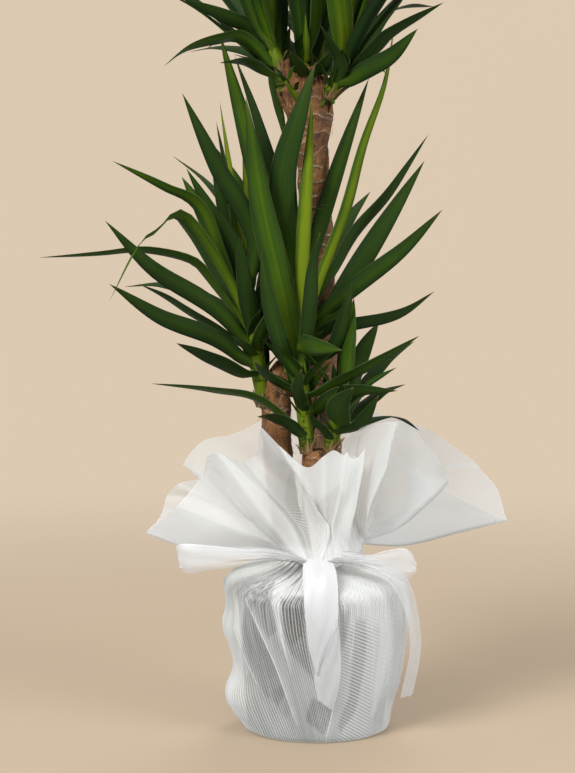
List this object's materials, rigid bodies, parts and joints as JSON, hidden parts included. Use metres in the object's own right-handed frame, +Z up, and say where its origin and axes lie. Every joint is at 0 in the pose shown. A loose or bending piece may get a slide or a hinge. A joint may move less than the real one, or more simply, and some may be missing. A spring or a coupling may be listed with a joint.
{
  "type": "potted yucca",
  "caption": "Spineless yucca on canes of stepped height with sword-leaf heads, in a nursery pot wrapped in sheer net tied with a ribbon bow.",
  "frame": {"origin": "middle of the pot's foot, on the surface that the wrapped pot stands on", "axes": "+Z up along the pot's axis, -Y towards the front with the bow, +X to the front view's right"},
  "size_m": [0.6622, 0.624, 1.2549],
  "materials": {
    "pot": "matte",
    "soil": "rough",
    "cane": "rough bark",
    "leaf": "satin",
    "net": "sheer",
    "ribbon": "sheer satin"
  },
  "bodies": {
    "root": {"pot": "pot", "soil": "soil", "cane_tall": "cane", "cane_middle": "cane", "cane_short": "cane", "shoot_tall_left": "leaf", "shoot_tall_centre": "leaf", "shoot_tall_right": "leaf", "shoot_tall_back": "leaf", "shoot_tall_bud": "leaf", "shoot_middle_left": "leaf", "shoot_middle_right": "leaf", "shoot_short_left": "leaf", "shoot_short_right": "leaf", "net_wrap": "net", "ribbon": "ribbon"}
  },
  "joints": []
}
